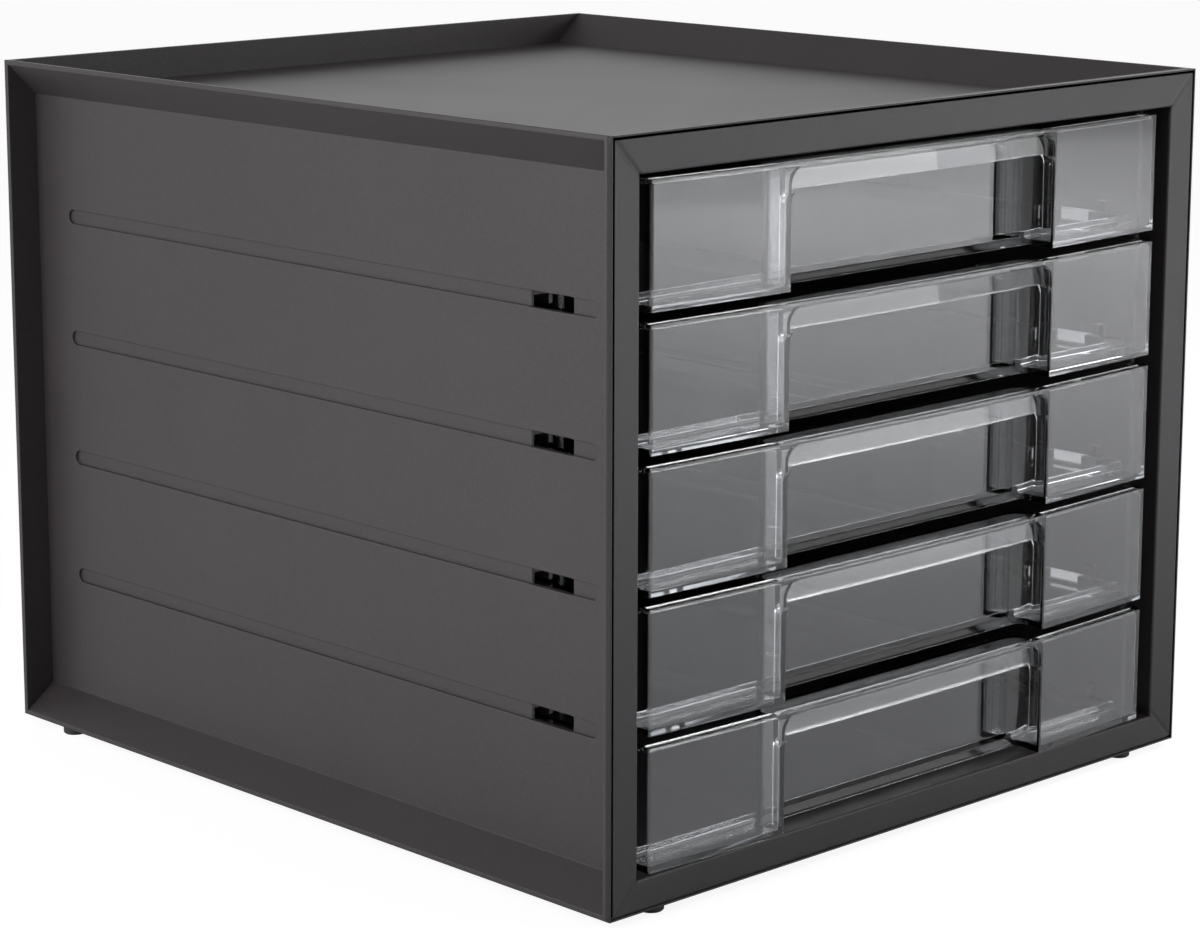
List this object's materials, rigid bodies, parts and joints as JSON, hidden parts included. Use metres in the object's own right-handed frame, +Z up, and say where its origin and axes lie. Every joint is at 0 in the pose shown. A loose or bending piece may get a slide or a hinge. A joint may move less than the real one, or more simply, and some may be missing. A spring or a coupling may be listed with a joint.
{
  "type": "drawer_unit",
  "caption": "Desktop drawer unit for paper: dark casing with flared edges and a tray top, clear sliding drawers with finger notches",
  "frame": {"origin": "middle of the casing on the plane of the foot soles", "axes": "X right, Y to the back, Z up"},
  "size_m": [0.304, 0.3356, 0.263],
  "materials": {
    "casing": "fine moulded grain",
    "clear_drawer": "clear, polished",
    "foot": "matt"
  },
  "bodies": {
    "casing": {"front_frame": "casing", "top_panel": "casing", "bottom_panel": "casing", "left_panel": "casing", "right_panel": "casing", "back_panel": "casing", "foot_front_left": "foot", "foot_front_right": "foot", "foot_rear_left": "foot", "foot_rear_right": "foot"},
    "drawer_1_body": {"drawer_1": "clear_drawer"},
    "drawer_2_body": {"drawer_2": "clear_drawer"},
    "drawer_3_body": {"drawer_3": "clear_drawer"},
    "drawer_4_body": {"drawer_4": "clear_drawer"},
    "drawer_5_body": {"drawer_5": "clear_drawer"}
  },
  "joints": [
    {"name": "drawer_1_slide", "type": "slide", "parent": "casing", "child": "drawer_1_body", "axis": [0, -1, 0], "range_m": [0, 0.279]},
    {"name": "drawer_2_slide", "type": "slide", "parent": "casing", "child": "drawer_2_body", "axis": [0, -1, 0], "range_m": [0, 0.279]},
    {"name": "drawer_3_slide", "type": "slide", "parent": "casing", "child": "drawer_3_body", "axis": [0, -1, 0], "range_m": [0, 0.279]},
    {"name": "drawer_4_slide", "type": "slide", "parent": "casing", "child": "drawer_4_body", "axis": [0, -1, 0], "range_m": [0, 0.279]},
    {"name": "drawer_5_slide", "type": "slide", "parent": "casing", "child": "drawer_5_body", "axis": [0, -1, 0], "range_m": [0, 0.279]}
  ]
}
